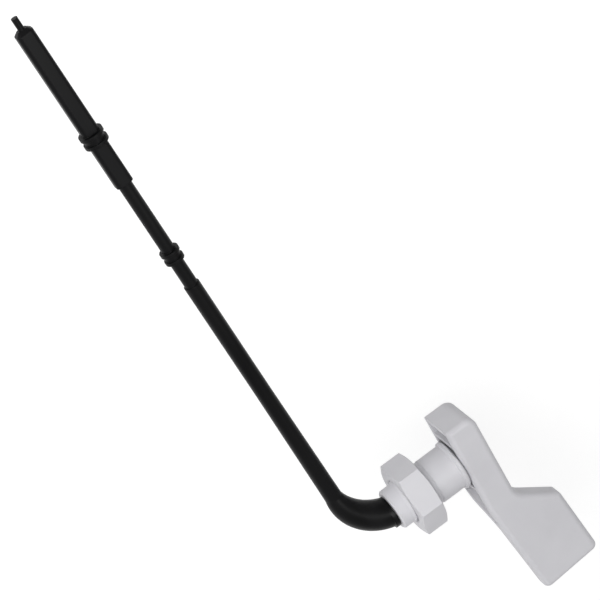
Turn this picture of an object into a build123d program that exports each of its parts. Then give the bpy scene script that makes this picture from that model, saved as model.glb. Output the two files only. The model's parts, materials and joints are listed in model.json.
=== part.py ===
from build123d import *
from math import cos, radians, sin, tan
import os

# Cistern lever for a hole in the front wall of a tank, in millimetres.
# The origin is on the pivot axis, in the plane of the flange's rear face, which seats on the wall.
# X points along the arm, Y into the tank and Z up. The thumb paddle points to -X.

# Bushing
flange_dia = 17.0
flange_thick = 1.5
neck_dia = 15.6
neck_length = 8.8
thread_dia = 15.2
thread_end = 19.7
pilot_dia = 14.0
bushing_end = 23.6
rim_chamfer = 0.5

# Clearances
running_fit = 0.05
end_play = 0.3
tang_fit = 0.02
stop_gap = 0.3

# Stop ring on the flange: the handle's rib turns by travel_deg in its window
stop_ring_dia = 11.0
stop_ring_thick = 1.0
stop_height = 2.8
stop_rib = 1.6
travel_deg = 30.0

# Lock nut
nut_flats = 22.7
nut_thick = 8.3
nut_seat = 10.6
nut_bevel_deg = 18.0

# Handle, with its sizes counted from the pivot and from the hub's back
hub_reach = 15.9
hub_height = 16.2
hub_depth = 10.3
hub_corner = 3.8
wall = 1.7
neck_reach = 18.6
flare_reach = 28.2
flare_corner = 6.5
paddle_reach = 56.0
paddle_front = 23.1
paddle_splay = 2.6
paddle_back = 4.1
paddle_skew = 1.8
paddle_corner = 2.2
back_corner = 40.0
plate_root_thick = 9.5
plate_tip_thick = 4.6
sweep_start = 10.4
sweep_end = 35.0
hollow_reach = 25.0
top_round = 1.8
low_bevel = 0.7
web_thick = 1.5
web_height = 3.0
rib_reach = 9.0

# Spindle on the handle, with the arm's tang in its socket
spindle_dia = 8.0
socket_side = 4.4
socket_depth = 17.5

# Arm, with distances along its straight run counted back from the blade's end
shoulder_dia = 10.7
shoulder_thick = 1.5
stub_dia = 10.0
bend_radius = 18.7
bend_lead_deg = 17.0
lean_deg = 2.2
bend_mid_dia = 9.2
rod_dia = 5.7
rod_end_dia = 5.1
rod_taper = 45.0
arm_reach = 203.8
tip_to_collar = 39.6
tip_to_step = 56.8
tip_to_second = 84.9
tip_to_rod = 96.7
saddle_dia = 4.3
blade_width = 5.5
blade_height = 4.5
blade_round = 1.3
blade_bevel = 1.2
collar_dia = 7.7
collar_groove_dia = 6.4
second_dia = 6.2
second_groove_dia = 5.2
ring_thick = 1.1
ring_pitch = 2.9
nib_dia = 2.0
nib_length = 4.0

# Sizes that follow from those above
hub_back = -flange_thick - end_play
hub_front = hub_back - hub_depth
half_height = hub_height / 2
inner_half = half_height - wall
roof_low = stop_ring_dia / 2 + stop_gap
floor = hub_front + wall
rib_low = wall / 2 - half_height
rib_top = (roof_low + half_height - top_round) / 2
boss_dia = stop_ring_dia - 2 * stop_ring_thick - 2 * stop_gap
spindle_end = bushing_end + end_play
paddle_outer = hub_back - paddle_front
root_low = half_height - plate_root_thick
tip_low = half_height - plate_tip_thick
taper = (plate_root_thick - plate_tip_thick) / (hub_reach + paddle_reach)
sweep_low = tip_low - taper * (paddle_reach - sweep_end) + 2 * low_bevel

# Threaded bushing: flange, plain neck, thread as a plain cylinder and pilot, bored for the spindle
with BuildPart() as bushing:
    with BuildSketch(Plane.XZ.offset(flange_thick)):
        Circle(flange_dia / 2)
    extrude(amount=-flange_thick)
    outer_rim = bushing.edges().filter_by(GeomType.CIRCLE).sort_by(Axis.Y)[0]
    chamfer(outer_rim, length=rim_chamfer)
    with BuildSketch(Plane.XZ):
        Circle(neck_dia / 2)
    extrude(amount=-neck_length)
    with BuildSketch(Plane.XZ):
        Circle(thread_dia / 2)
    extrude(amount=-thread_end)
    with BuildSketch(Plane.XZ):
        Circle(pilot_dia / 2)
    extrude(amount=-bushing_end)
    end_rim = bushing.edges().filter_by(GeomType.CIRCLE).sort_by(Axis.Y)[-1]
    chamfer(end_rim, length=rim_chamfer)
    with BuildSketch(Plane.XZ.offset(flange_thick)):
        Circle(stop_ring_dia / 2)
        Circle(stop_ring_dia / 2 - stop_ring_thick, mode=Mode.SUBTRACT)
        side = stop_rib / 2 + stop_gap
        turn = radians(travel_deg)
        near = (-side * cos(turn), -side * sin(turn))
        far = (near[0] - stop_ring_dia * sin(turn), near[1] + stop_ring_dia * cos(turn))
        with BuildLine():
            Polyline((side, 0), (side, stop_ring_dia), far, near, close=True)
        make_face(mode=Mode.SUBTRACT)
    extrude(amount=stop_height)
    with BuildSketch(Plane.XZ.offset(flange_thick + stop_height)):
        Circle(spindle_dia / 2 + running_fit)
    extrude(amount=-(flange_thick + stop_height + bushing_end), mode=Mode.SUBTRACT)
bushing.part.label = "threaded_bushing"

# Lock nut: hexagon with two flats across X, its corners bevelled at both faces
with BuildPart() as nut:
    with BuildSketch(Plane.XZ.offset(-nut_seat)):
        RegularPolygon(nut_flats / 2, 6, major_radius=False, rotation=30)
    extrude(amount=-nut_thick)
    with BuildSketch(Plane.XY):
        flat = nut_flats / 2
        corner = flat / cos(radians(30))
        drop = (corner - flat) * tan(radians(nut_bevel_deg))
        with BuildLine():
            Polyline(
                (0, nut_seat),
                (flat, nut_seat),
                (corner, nut_seat + drop),
                (corner, nut_seat + nut_thick - drop),
                (flat, nut_seat + nut_thick),
                (0, nut_seat + nut_thick),
                close=True,
            )
        make_face()
    revolve(axis=Axis.Y, mode=Mode.INTERSECT)
    with BuildSketch(Plane.XZ.offset(-nut_seat)):
        Circle(thread_dia / 2 + running_fit)
    extrude(amount=-nut_thick, mode=Mode.SUBTRACT)
    mouths = nut.edges().filter_by(GeomType.CIRCLE).group_by(SortBy.RADIUS)[0]
    chamfer(mouths, length=rim_chamfer)
nut.part.label = "lock_nut"

# Plan outline of the whole handle
with BuildSketch(Plane.XY.offset(-half_height)) as plan:
    with BuildLine():
        Polyline(
            (hub_reach, hub_back),
            (hub_reach, hub_front),
            (-neck_reach, hub_front),
            (-flare_reach, paddle_outer),
            (-paddle_reach + paddle_skew, paddle_outer - paddle_splay),
            (-paddle_reach, hub_back - paddle_back),
            (-neck_reach, hub_back),
            close=True,
        )
    make_face()
    tip_front = (-paddle_reach + paddle_skew, paddle_outer - paddle_splay)
    tip_back = (-paddle_reach, hub_back - paddle_back)
    fillet(plan.vertices().sort_by_distance((hub_reach, hub_front))[0], radius=hub_corner)
    fillet(plan.vertices().sort_by_distance((-neck_reach, hub_front))[0], radius=flare_corner)
    fillet(plan.vertices().sort_by_distance((-flare_reach, paddle_outer))[0], radius=paddle_corner)
    fillet(plan.vertices().sort_by_distance(tip_front)[0], radius=paddle_corner)
    fillet(plan.vertices().sort_by_distance(tip_back)[0], radius=paddle_corner)
    fillet(plan.vertices().sort_by_distance((-neck_reach, hub_back))[0], radius=back_corner)

# Beam under the handle's back: full height at the hub, its underside swept up to the paddle
with BuildPart() as beam:
    add(plan.sketch)
    extrude(amount=hub_height)
    with BuildSketch(Plane.XY.offset(-half_height)):
        with Locations((0, hub_back)):
            Rectangle(2 * paddle_reach, hub_depth, align=(Align.CENTER, Align.MAX))
    extrude(amount=hub_height, mode=Mode.INTERSECT)
    with BuildSketch(Plane.XZ):
        with BuildLine():
            Polyline(
                (-sweep_start, -half_height),
                (hub_reach, -half_height),
                (hub_reach, half_height),
                (-sweep_end, half_height),
                (-sweep_end, sweep_low),
            )
            Spline(
                (-sweep_start, -half_height),
                (-sweep_end, sweep_low),
                tangents=((-1, 0), (-1, 0)),
            )
        make_face()
    extrude(amount=2 * paddle_front, both=True, mode=Mode.INTERSECT)
    low_edges = beam.edges().filter_by(lambda e: e.center().Z < sweep_low).filter_by(Axis.Z, reverse=True)
    outer_low = low_edges.filter_by(lambda e: e.center().X > hub_reach / 2 or e.center().Y < hub_front + 0.01)
    chamfer(outer_low, length=low_bevel)

# Handle: the paddle plate and the beam, rounded on top and hollowed from the back,
# with a web and two cross ribs, the stop rib and the spindle
with BuildPart() as handle:
    add(plan.sketch)
    extrude(amount=hub_height)
    with BuildSketch(Plane.XZ):
        with BuildLine():
            Polyline(
                (hub_reach, half_height),
                (-paddle_reach, half_height),
                (-paddle_reach, tip_low),
                (hub_reach, root_low),
                close=True,
            )
        make_face()
    extrude(amount=2 * paddle_front, both=True, mode=Mode.INTERSECT)
    chamfer(handle.faces().sort_by(Axis.Z)[0].edges(), length=low_bevel)
    add(beam.part)
    fillet(handle.edges().group_by(Axis.Z)[-1], radius=top_round)
    with BuildSketch(Plane.XZ.offset(-hub_back)):
        with BuildLine():
            Polyline(
                (-sweep_end + 2 * wall, sweep_low + wall),
                (-sweep_end + 2 * wall, roof_low),
                (hub_reach - wall, roof_low),
                (hub_reach - wall, -inner_half),
                (-sweep_start, -inner_half),
            )
            Spline(
                (-sweep_start, -inner_half),
                (-sweep_end + 2 * wall, sweep_low + wall),
                tangents=((-1, 0), (-1, 0)),
            )
        make_face()
        with Locations((-hollow_reach, 0)):
            kept = (Align.MIN, Align.CENTER)
            Rectangle(hollow_reach + hub_reach, hub_height, align=kept, mode=Mode.INTERSECT)
    extrude(amount=hub_depth - wall, mode=Mode.SUBTRACT)
    with BuildSketch(Plane.XZ.offset(-floor)):
        Rectangle(2 * (hub_reach - wall / 2), web_thick)
    extrude(amount=-web_height)
    with BuildSketch(Plane.XZ.offset(-floor)):
        Rectangle(stop_rib, rib_top, align=(Align.CENTER, Align.MIN))
        with Locations((rib_reach, rib_low), (-rib_reach, rib_low)):
            Rectangle(web_thick, rib_top - rib_low, align=(Align.CENTER, Align.MIN))
    extrude(amount=-(hub_back - floor))
    with BuildSketch(Plane.XZ.offset(-floor)):
        Circle(boss_dia / 2)
    extrude(amount=-(hub_back - floor))
    with BuildSketch(Plane.XZ.offset(-floor)):
        Circle(spindle_dia / 2)
    extrude(amount=-(spindle_end - floor))
    with BuildSketch(Plane.XZ.offset(-spindle_end)):
        Rectangle(socket_side, socket_side)
    extrude(amount=socket_depth, mode=Mode.SUBTRACT)
handle.part.label = "handle"

# Arm: tang, shoulder, tapering bend, rod, thin saddle and flat blade, with two pairs of rings and a nib
with BuildPart() as arm:
    with BuildLine() as bend:
        lead = radians(bend_lead_deg)
        center = (bend_radius * cos(lead), spindle_end - bend_radius * sin(lead))
        CenterArc(center, bend_radius, 180 - bend_lead_deg, lean_deg + bend_lead_deg - 90)
    with BuildSketch(Plane(origin=bend.line @ 0, z_dir=bend.line % 0)):
        Circle(stub_dia / 2)
    with BuildSketch(Plane(origin=bend.line @ 0.5, z_dir=bend.line % 0.5)):
        Circle(bend_mid_dia / 2)
    with BuildSketch(Plane(origin=bend.line @ 1, z_dir=bend.line % 1)):
        Circle(rod_dia / 2)
    sweep(path=bend.line, multisection=True)
    split(bisect_by=Plane.XZ.offset(-spindle_end), keep=Keep.BOTTOM)
    with BuildSketch(Plane.XZ.offset(-spindle_end)):
        Rectangle(socket_side - 2 * tang_fit, socket_side - 2 * tang_fit)
    extrude(amount=socket_depth - end_play)
    with BuildSketch(Plane.XZ.offset(-spindle_end)):
        Circle(shoulder_dia / 2)
    extrude(amount=-shoulder_thick)
    bend_out = bend.line @ 1
    run = Plane(origin=bend_out, x_dir=(0, 0, 1), z_dir=bend.line % 1)
    run_length = (arm_reach - bend_out.X) / cos(radians(lean_deg))
    rod_end = run_length - tip_to_rod
    step_at = run_length - tip_to_step
    with BuildSketch(run):
        Circle(rod_dia / 2)
    with BuildSketch(run.offset(rod_taper)):
        Circle(rod_end_dia / 2)
    loft()
    with BuildSketch(run.offset(rod_taper)):
        Circle(rod_end_dia / 2)
    extrude(amount=rod_end - rod_taper)
    with BuildSketch(run.offset(rod_end)):
        Circle(saddle_dia / 2)
    extrude(amount=step_at - rod_end)
    with BuildSketch(run.offset(step_at)):
        RectangleRounded(blade_height, blade_width, blade_round)
    extrude(amount=tip_to_step - blade_bevel)
    with BuildSketch(run.offset(run_length - blade_bevel)):
        RectangleRounded(blade_height, blade_width, blade_round)
    with BuildSketch(run.offset(run_length)):
        RectangleRounded(blade_height - 2 * blade_bevel, blade_width - 2 * blade_bevel, blade_round / 2)
    loft()
    collar = (collar_dia, collar_groove_dia, tip_to_collar)
    second = (second_dia, second_groove_dia, tip_to_second)
    for ring_dia, groove_dia, tip_to_pair in (collar, second):
        pair_at = run_length - tip_to_pair - ring_pitch / 2
        with BuildSketch(run.offset(pair_at)):
            Circle(groove_dia / 2)
        extrude(amount=ring_pitch)
        for ring_at in (pair_at, pair_at + ring_pitch):
            with BuildSketch(run.offset(ring_at - ring_thick / 2)):
                Circle(ring_dia / 2)
            extrude(amount=ring_thick)
    with BuildSketch(run.offset(run_length)):
        Circle(nib_dia / 2)
    extrude(amount=nib_length)
arm.part.label = "arm"

os.makedirs("parts", exist_ok=True)
export_step(handle.part, "parts/handle.step")
export_step(bushing.part, "parts/threaded_bushing.step")
export_step(nut.part, "parts/lock_nut.step")
export_step(arm.part, "parts/arm.step")
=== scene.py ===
import json
from math import asin, cos, pi, radians, sin

import bmesh
import bpy
from mathutils import Matrix, Vector


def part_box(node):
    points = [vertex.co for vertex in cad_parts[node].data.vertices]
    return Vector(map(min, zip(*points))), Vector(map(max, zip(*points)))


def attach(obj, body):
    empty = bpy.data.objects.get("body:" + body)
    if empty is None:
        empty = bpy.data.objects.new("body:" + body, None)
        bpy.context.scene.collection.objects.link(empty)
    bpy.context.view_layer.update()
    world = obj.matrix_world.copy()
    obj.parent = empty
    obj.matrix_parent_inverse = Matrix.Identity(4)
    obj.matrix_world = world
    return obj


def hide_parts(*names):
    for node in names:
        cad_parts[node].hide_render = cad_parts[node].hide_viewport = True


# Cistern lever in metres: plastics on its solids, a bushing with its thread, and a plain studio
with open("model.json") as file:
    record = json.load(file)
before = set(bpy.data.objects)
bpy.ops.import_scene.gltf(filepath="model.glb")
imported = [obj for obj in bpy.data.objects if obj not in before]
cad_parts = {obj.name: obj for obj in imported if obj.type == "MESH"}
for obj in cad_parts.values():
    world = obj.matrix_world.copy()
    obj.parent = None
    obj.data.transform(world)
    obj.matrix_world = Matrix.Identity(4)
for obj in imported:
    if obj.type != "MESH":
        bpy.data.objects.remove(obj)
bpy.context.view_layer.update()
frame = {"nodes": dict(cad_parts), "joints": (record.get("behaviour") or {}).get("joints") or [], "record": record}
nodes = frame["nodes"]
scene = bpy.context.scene

# Bushing sizes that the frame gives; the flange's rear face is at 0 on the Y axis
MM = 0.001
bushing_low, bushing_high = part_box("threaded_bushing")
mounts = {mount["name"]: mount for mount in frame["record"]["mounts"]}
joints = {joint["name"]: joint for joint in frame["joints"]}
neck = mounts["tank_wall_hole"]["dims"]
FLANGE_R = bushing_high.x
NECK_R = neck["r_mm"] * MM
NECK_END = neck["length_mm"] * MM
BUSHING_END = bushing_high.y
RING_FRONT = bushing_low.y
TRAVEL = radians(joints["lever_pivot"]["range_deg"][1])

# Other sizes of the bushing; the seat is the flange's rear face, and flange and pilot have like rims
FLANGE_FRONT = -0.0015
PILOT_R = 0.0070
PILOT_STEP = 0.0002
BORE_R = 0.00405
BORE_BEVEL = 0.0003
RIM_BEVEL = 0.0005
SEAT_BEVEL = 0.0002
NECK_BEVEL = 0.0003

# Thread: how it runs in after the neck and out at the pilot, and its form as shares of half a pitch
CREST_R = 0.0076
ROOT_R = 0.0071
THREAD_END = 0.0197
PITCH = 0.0016
PLAIN_START = 0.0008
RUN_IN = 0.0012
RUN_OUT = 0.0009
ROOT_FLAT = 0.12
FLANK = 0.62

# Stop ring: its radii, its depth in the flange, and the distance from the rib's middle to its window's sides
RING_OUT = 0.0055
RING_IN = 0.0045
RING_SINK = 0.0001
RING_SIDE = 0.0011

# Fineness of the bushing's mesh, and the angle from which its edges stay sharp
SEGMENTS = 96
ROWS_PER_PITCH = 12
RING_STEPS = 64
SHARP_ANGLE = radians(32)

# White plastic: its shade on the handle, a lighter shade on the fittings that paints light onto the neck and nut,
# and its darkest and lightest tint
HANDLE_SHADE = 0.638
LIT_FITTING_SHADE = 0.676
DARK_TINT = (0.965, 0.957, 1.001)
LIGHT_TINT = (1.020, 1.012, 1.056)

# Black plastic: its darkest and lightest flow marks, and how they are drawn out along the arm
DARK_FLOW = (0.0025, 0.0025, 0.0028)
LIGHT_FLOW = (0.0060, 0.0060, 0.0065)
FLOW_STRETCH = (0.12, 1.0, 1.0)

# Both plastics: the part of a noise's range that is used, and the rounding of their sharp edges
NOISE_LOW = 0.3
NOISE_HIGH = 0.7
EDGE_ROUND = 0.0003
EDGE_SAMPLES = 6

# Camera: the point it looks at, its distance, its angles, its lens and the depth it sees
VIEW_TARGET = Vector((0.0784, 0.0141, -0.0048))
VIEW_DISTANCE = 0.88
VIEW_TURN = radians(18.07)
VIEW_RISE = radians(58.05)
VIEW_ROLL = radians(128.70)
SENSOR = 36.0
LENS = 175.88
CLIP_NEAR = 0.05
CLIP_FAR = 20.0

# Light from the studio around, the floor's own tone, and the share of white that it adds for the camera
WHITE = (1, 1, 1, 1)
STUDIO = 0.54
FLOOR_TONE = 0.55
FLOOR_LIFT = 0.59

# The floor's middle, half of its side, and the point that the lamps are aimed at
FLOOR_PLACE = (0.07, 0.0, -0.055)
FLOOR_HALF = 8.0
LIGHT_AIM = Vector((0.06, 0.0, 0.0))


def clamp(value):
    return min(1.0, max(0.0, value))


def add_object(name, data):
    made = bpy.data.objects.new(name, data)
    scene.collection.objects.link(made)
    return made


def new_material(name):
    material = bpy.data.materials.new(name)
    material.use_nodes = True
    tree = material.node_tree
    return material, tree, tree.nodes["Principled BSDF"]


# Each input of a node is set to a value, or linked to another node's output
def fill(tree, node, inputs):
    for key, value in inputs.items():
        if isinstance(value, bpy.types.NodeSocket):
            tree.links.new(value, node.inputs[key])
        else:
            node.inputs[key].default_value = value


def add_node(tree, kind, inputs):
    node = tree.nodes.new(kind)
    fill(tree, node, inputs)
    return node


def maths(tree, operation, *values):
    node = tree.nodes.new("ShaderNodeMath")
    node.operation = operation
    fill(tree, node, dict(enumerate(values)))
    return node.outputs["Value"]


def noise(tree, coords, scale, detail):
    node = add_node(tree, "ShaderNodeTexNoise", {"Vector": coords, "Scale": scale, "Detail": detail})
    return node.outputs["Fac"]


def stretch(tree, coords, scale):
    node = add_node(tree, "ShaderNodeMapping", {"Vector": coords, "Scale": scale})
    return node.outputs["Vector"]


# Colour that goes from dark to light with a noise
def ramp(tree, factor, dark, light):
    node = add_node(tree, "ShaderNodeValToRGB", {"Fac": factor})
    first, last = node.color_ramp.elements
    first.position = NOISE_LOW
    first.color = (*dark, 1)
    last.position = NOISE_HIGH
    last.color = (*light, 1)
    return node.outputs["Color"]


# Number that goes from low to high with a noise
def span(tree, factor, low, high):
    noise_range = {"Value": factor, "From Min": NOISE_LOW, "From Max": NOISE_HIGH}
    node = add_node(tree, "ShaderNodeMapRange", {**noise_range, "To Min": low, "To Max": high})
    return node.outputs["Result"]


def bump(tree, height, strength, distance, normal):
    inputs = {"Height": height, "Strength": strength, "Distance": distance, "Normal": normal}
    return add_node(tree, "ShaderNodeBump", inputs).outputs["Normal"]


def round_edges(tree):
    node = add_node(tree, "ShaderNodeBevel", {"Radius": EDGE_ROUND})
    node.samples = EDGE_SAMPLES
    return node.outputs["Normal"]


# White moulded plastic: faint clouds, uneven gloss, soft edges, ripples and a fine grain
def white_plastic(name, shade):
    material, tree, shader = new_material(name)
    coords = tree.nodes.new("ShaderNodeTexCoord").outputs["Object"]
    cloud = noise(tree, coords, scale=90.0, detail=3.0)
    smear = noise(tree, coords, scale=260.0, detail=4.0)
    ripple = noise(tree, coords, scale=320.0, detail=2.0)
    grain = noise(tree, coords, scale=5200.0, detail=2.0)
    dark = [share * shade for share in DARK_TINT]
    light = [share * shade for share in LIGHT_TINT]
    rippled = bump(tree, ripple, strength=0.25, distance=0.00006, normal=round_edges(tree))
    fill(tree, shader, {
        "Base Color": ramp(tree, cloud, dark, light),
        "Roughness": span(tree, smear, low=0.40, high=0.52),
        "Normal": bump(tree, grain, strength=0.12, distance=0.00003, normal=rippled),
        "Specular IOR Level": 0.25,
    })
    return material


# Black moulded plastic: flow marks along the arm, soft edges and a satin grain
def black_plastic():
    material, tree, shader = new_material("black_plastic")
    coords = tree.nodes.new("ShaderNodeTexCoord").outputs["Object"]
    flow = noise(tree, stretch(tree, coords, FLOW_STRETCH), scale=160.0, detail=4.0)
    grain = noise(tree, coords, scale=3600.0, detail=2.0)
    marked = bump(tree, flow, strength=0.30, distance=0.00008, normal=round_edges(tree))
    fill(tree, shader, {
        "Base Color": ramp(tree, flow, DARK_FLOW, LIGHT_FLOW),
        "Roughness": span(tree, flow, low=0.32, high=0.44),
        "Normal": bump(tree, grain, strength=0.25, distance=0.00004, normal=marked),
        "Specular IOR Level": 0.12,
    })
    return material


# Point at a radius from the Y axis, turned from +Z towards +X
def point(bm, radius, y, turn):
    return bm.verts.new((radius * sin(turn), y, radius * cos(turn)))


# Points all round the axis, with a radius that may change with the turn
def row(bm, y, radius_at):
    turns = [2 * pi * i / SEGMENTS for i in range(SEGMENTS)]
    return [point(bm, radius_at(turn), y, turn) for turn in turns]


# Faces between rows of points that follow each other, each row a closed loop
def skin(bm, pairs):
    for a, b in pairs:
        for i in range(len(a)):
            j = (i + 1) % len(a)
            bm.faces.new((a[i], a[j], b[j], b[i]))


# Left-hand helix: the groove deepens after the neck, and the crest sinks to the root at the pilot
def thread_radius(y, turn):
    run_in = clamp((y - NECK_END - PLAIN_START) / RUN_IN)
    run_out = clamp((THREAD_END - y) / RUN_OUT)
    phase = (y / PITCH + turn / (2 * pi)) % 1.0
    crest = clamp((abs(2 * phase - 1) - ROOT_FLAT) / FLANK)
    height = 1 - (1 - crest) * run_in
    return ROOT_R + (CREST_R - ROOT_R) * height * run_out


# Flange, neck, thread, pilot and bore in one closed skin around the axis
def turned_body(bm):
    flange_and_neck = (
        (BORE_R, FLANGE_FRONT),
        (FLANGE_R - RIM_BEVEL, FLANGE_FRONT),
        (FLANGE_R, FLANGE_FRONT + RIM_BEVEL),
        (FLANGE_R, -SEAT_BEVEL),
        (FLANGE_R - SEAT_BEVEL, 0.0),
        (NECK_R + SEAT_BEVEL, 0.0),
        (NECK_R, SEAT_BEVEL),
        (NECK_R, NECK_END - NECK_BEVEL),
    )
    pilot_and_bore = (
        (PILOT_R, THREAD_END + PILOT_STEP),
        (PILOT_R, BUSHING_END - RIM_BEVEL),
        (PILOT_R - RIM_BEVEL, BUSHING_END),
        (BORE_R + BORE_BEVEL, BUSHING_END),
        (BORE_R, BUSHING_END - BORE_BEVEL),
    )
    rows = [row(bm, y, lambda turn: radius) for radius, y in flange_and_neck]
    thread_length = THREAD_END - NECK_END
    steps = int(thread_length / (PITCH / ROWS_PER_PITCH))
    for k in range(steps + 1):
        y = NECK_END + thread_length * k / steps
        rows.append(row(bm, y, lambda turn: thread_radius(y, turn)))
    rows += [row(bm, y, lambda turn: radius) for radius, y in pilot_and_bore]
    skin(bm, zip(rows, rows[1:] + rows[:1]))


# Ring in front of the flange, with a window that the handle's rib turns in
def stop_ring(bm):
    foot = FLANGE_FRONT + RING_SINK
    corners = ((RING_IN, foot), (RING_OUT, foot), (RING_OUT, RING_FRONT), (RING_IN, RING_FRONT))
    sections = []
    for k in range(RING_STEPS + 1):
        section = []
        for radius, y in corners:
            first = asin(RING_SIDE / radius)
            last = 2 * pi - TRAVEL - first
            turn = first + (last - first) * (k / RING_STEPS)
            section.append(point(bm, radius, y, turn))
        sections.append(section)
    skin(bm, zip(sections, sections[1:]))
    bm.faces.new(sections[0])
    bm.faces.new(sections[-1])


def build_bushing(material):
    bm = bmesh.new()
    turned_body(bm)
    stop_ring(bm)
    bmesh.ops.recalc_face_normals(bm, faces=bm.faces)
    mesh = bpy.data.meshes.new("bushing_body")
    bm.to_mesh(mesh)
    bm.free()
    mesh.shade_smooth()
    mesh.set_sharp_from_angle(angle=SHARP_ANGLE)
    mesh.materials.append(material)
    return add_object("bushing_body", mesh)


# Camera at the photograph's angle, rolled about the line that it looks along
def build_camera():
    back = Vector((cos(VIEW_RISE) * cos(VIEW_TURN), cos(VIEW_RISE) * sin(VIEW_TURN), sin(VIEW_RISE)))
    level = Vector((0, 0, 1)).cross(back).normalized()
    right = Matrix.Rotation(VIEW_ROLL, 3, back) @ level
    data = bpy.data.cameras.new("camera")
    data.sensor_width = SENSOR
    data.lens = LENS
    data.clip_start = CLIP_NEAR
    data.clip_end = CLIP_FAR
    camera = add_object("camera", data)
    turn = Matrix((right, back.cross(right), back)).transposed().to_4x4()
    camera.matrix_world = Matrix.Translation(VIEW_TARGET + back * VIEW_DISTANCE) @ turn
    return camera


# Pale floor that looks white to the camera and in gloss, and keeps the lever's shadow
def floor_pale():
    material, tree, shader = new_material("floor_pale")
    path = tree.nodes.new("ShaderNodeLightPath")
    seen = maths(tree, "MAXIMUM", path.outputs["Is Camera Ray"], path.outputs["Is Glossy Ray"])
    fill(tree, shader, {
        "Base Color": (FLOOR_TONE, FLOOR_TONE, FLOOR_TONE, 1),
        "Roughness": 0.9,
        "Specular IOR Level": 0.1,
        "Emission Color": WHITE,
        "Emission Strength": maths(tree, "MULTIPLY", seen, FLOOR_LIFT),
    })
    return material


def build_floor():
    mesh = bpy.data.meshes.new("floor")
    bm = bmesh.new()
    bmesh.ops.create_grid(bm, x_segments=1, y_segments=1, size=FLOOR_HALF)
    bm.to_mesh(mesh)
    bm.free()
    mesh.materials.append(floor_pale())
    made = add_object("floor", mesh)
    made.location = FLOOR_PLACE
    return made


# Soft light from all round, which has the tone of the far floor to the camera
def build_studio():
    world = bpy.data.worlds.new("studio")
    world.use_nodes = True
    tree = world.node_tree
    seen = tree.nodes.new("ShaderNodeLightPath").outputs["Is Camera Ray"]
    far_floor = FLOOR_TONE * STUDIO + FLOOR_LIFT
    fill(tree, tree.nodes["Background"], {
        "Color": WHITE,
        "Strength": maths(tree, "MULTIPLY_ADD", seen, far_floor - STUDIO, STUDIO),
    })
    return world


def area_light(name, where, size, power):
    data = bpy.data.lights.new(name, "AREA")
    data.shape = "DISK"
    data.size = size
    data.energy = power
    light = add_object(name, data)
    light.location = where
    light.rotation_euler = (LIGHT_AIM - Vector(where)).to_track_quat("-Z", "Y").to_euler()
    return light


# The handle, the nut and the arm keep their solids, and get the plastics
handle_white = white_plastic("white_plastic", HANDLE_SHADE)
# The fittings get a lighter copy of the same white: painted light on the nut and the bushing
lit_fitting_white = white_plastic("white_plastic_lit_fitting", LIT_FITTING_SHADE)
black = black_plastic()
for name, material in (("handle", handle_white), ("lock_nut", lit_fitting_white), ("arm", black)):
    nodes[name].data.materials.clear()
    nodes[name].data.materials.append(material)

# The bushing is made again with its thread
bushing = build_bushing(lit_fitting_white)
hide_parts("threaded_bushing")
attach(bushing, "bushing")

# Camera, floor and light; the glint shows only in the gloss, as a streak on the arm's bend
scene.camera = build_camera()
floor = build_floor()
scene.world = build_studio()
area_light("key", where=(0.53, 0.42, 0.78), size=0.7, power=5.0)
area_light("rear", where=(0.15, 0.90, 0.30), size=0.5, power=0.8)
glint = area_light("glint", where=(0.12, -0.12, 0.90), size=0.4, power=3.5)
glint.visible_diffuse = False
scene.view_settings.view_transform = "Standard"
